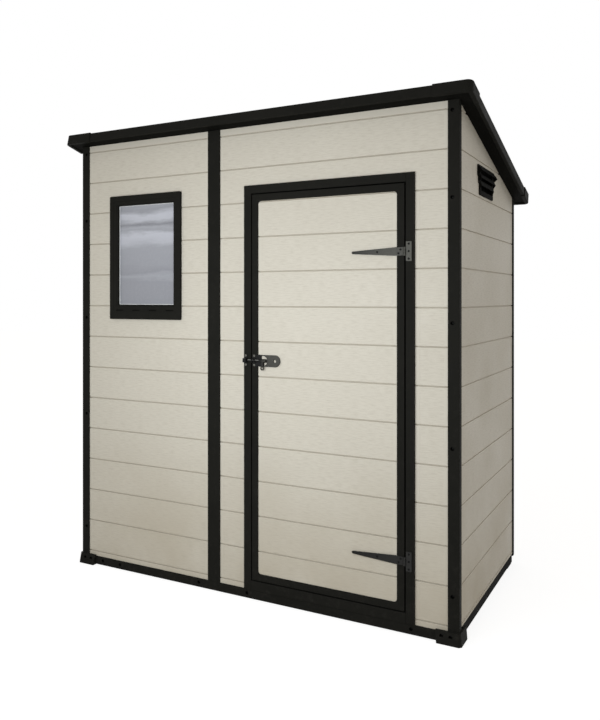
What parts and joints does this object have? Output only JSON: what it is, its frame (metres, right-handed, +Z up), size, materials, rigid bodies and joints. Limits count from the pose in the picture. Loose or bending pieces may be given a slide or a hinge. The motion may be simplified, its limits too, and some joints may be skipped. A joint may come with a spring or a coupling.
{
  "type": "garden storage shed",
  "caption": "Small pent-roofed resin garden shed with cream board walls, black posts, a hinged door with sliding bolt, a fixed window and side vents.",
  "frame": {"origin": "on the ground under the middle of the shed's overall box", "axes": "+X to the right seen from the front, the door and window face -Y, +Z up"},
  "size_m": [1.838, 1.0986, 1.9623],
  "materials": {
    "cream_resin": "satin, fine wood grain",
    "black_resin": "satin",
    "dark_steel": "satin",
    "clear_sheet": "glossy"
  },
  "bodies": {
    "shed": {"floor_panel": "black_resin", "base_rail_front": "black_resin", "base_rail_rear": "black_resin", "base_rail_left": "black_resin", "base_rail_right": "black_resin", "foot_front_left": "black_resin", "foot_front_right": "black_resin", "foot_rear_left": "black_resin", "foot_rear_right": "black_resin", "corner_post_front_left": "black_resin", "corner_post_front_right": "black_resin", "corner_post_rear_left": "black_resin", "corner_post_rear_right": "black_resin", "front_mullion": "black_resin", "rear_mullion": "black_resin", "front_panel_window": "cream_resin", "front_panel_latch_side": "cream_resin", "front_panel_hinge_side": "cream_resin", "front_panel_over_door": "cream_resin", "left_wall": "cream_resin", "right_wall": "cream_resin", "rear_panel_left": "cream_resin", "rear_panel_right": "cream_resin", "door_jamb_latch": "black_resin", "door_jamb_hinge": "black_resin", "door_head": "black_resin", "door_threshold": "black_resin", "hinge_plates": "dark_steel", "latch_keeper": "dark_steel", "window_frame": "black_resin", "window_pane": "clear_sheet", "vent_left": "black_resin", "vent_right": "black_resin", "roof_panel": "black_resin", "roof_trim_front": "black_resin", "roof_trim_rear": "black_resin", "roof_trim_left": "black_resin", "roof_trim_right": "black_resin", "roof_caps_front": "black_resin", "roof_caps_rear": "black_resin"},
    "door": {"door_border": "black_resin", "door_panel": "cream_resin", "hinge_straps": "dark_steel", "latch_plate": "dark_steel"},
    "bolt": {"latch_bolt": "dark_steel"}
  },
  "joints": [
    {"name": "door_hinge", "type": "hinge", "parent": "shed", "child": "door", "pos_m": [0.6685, -0.4986, 0.8], "axis": [0, 0, 1], "range_deg": [0, 165]},
    {"name": "bolt_slide", "type": "slide", "parent": "door", "child": "bolt", "axis": [-1, 0, 0], "range_m": [0, 0.023]}
  ]
}
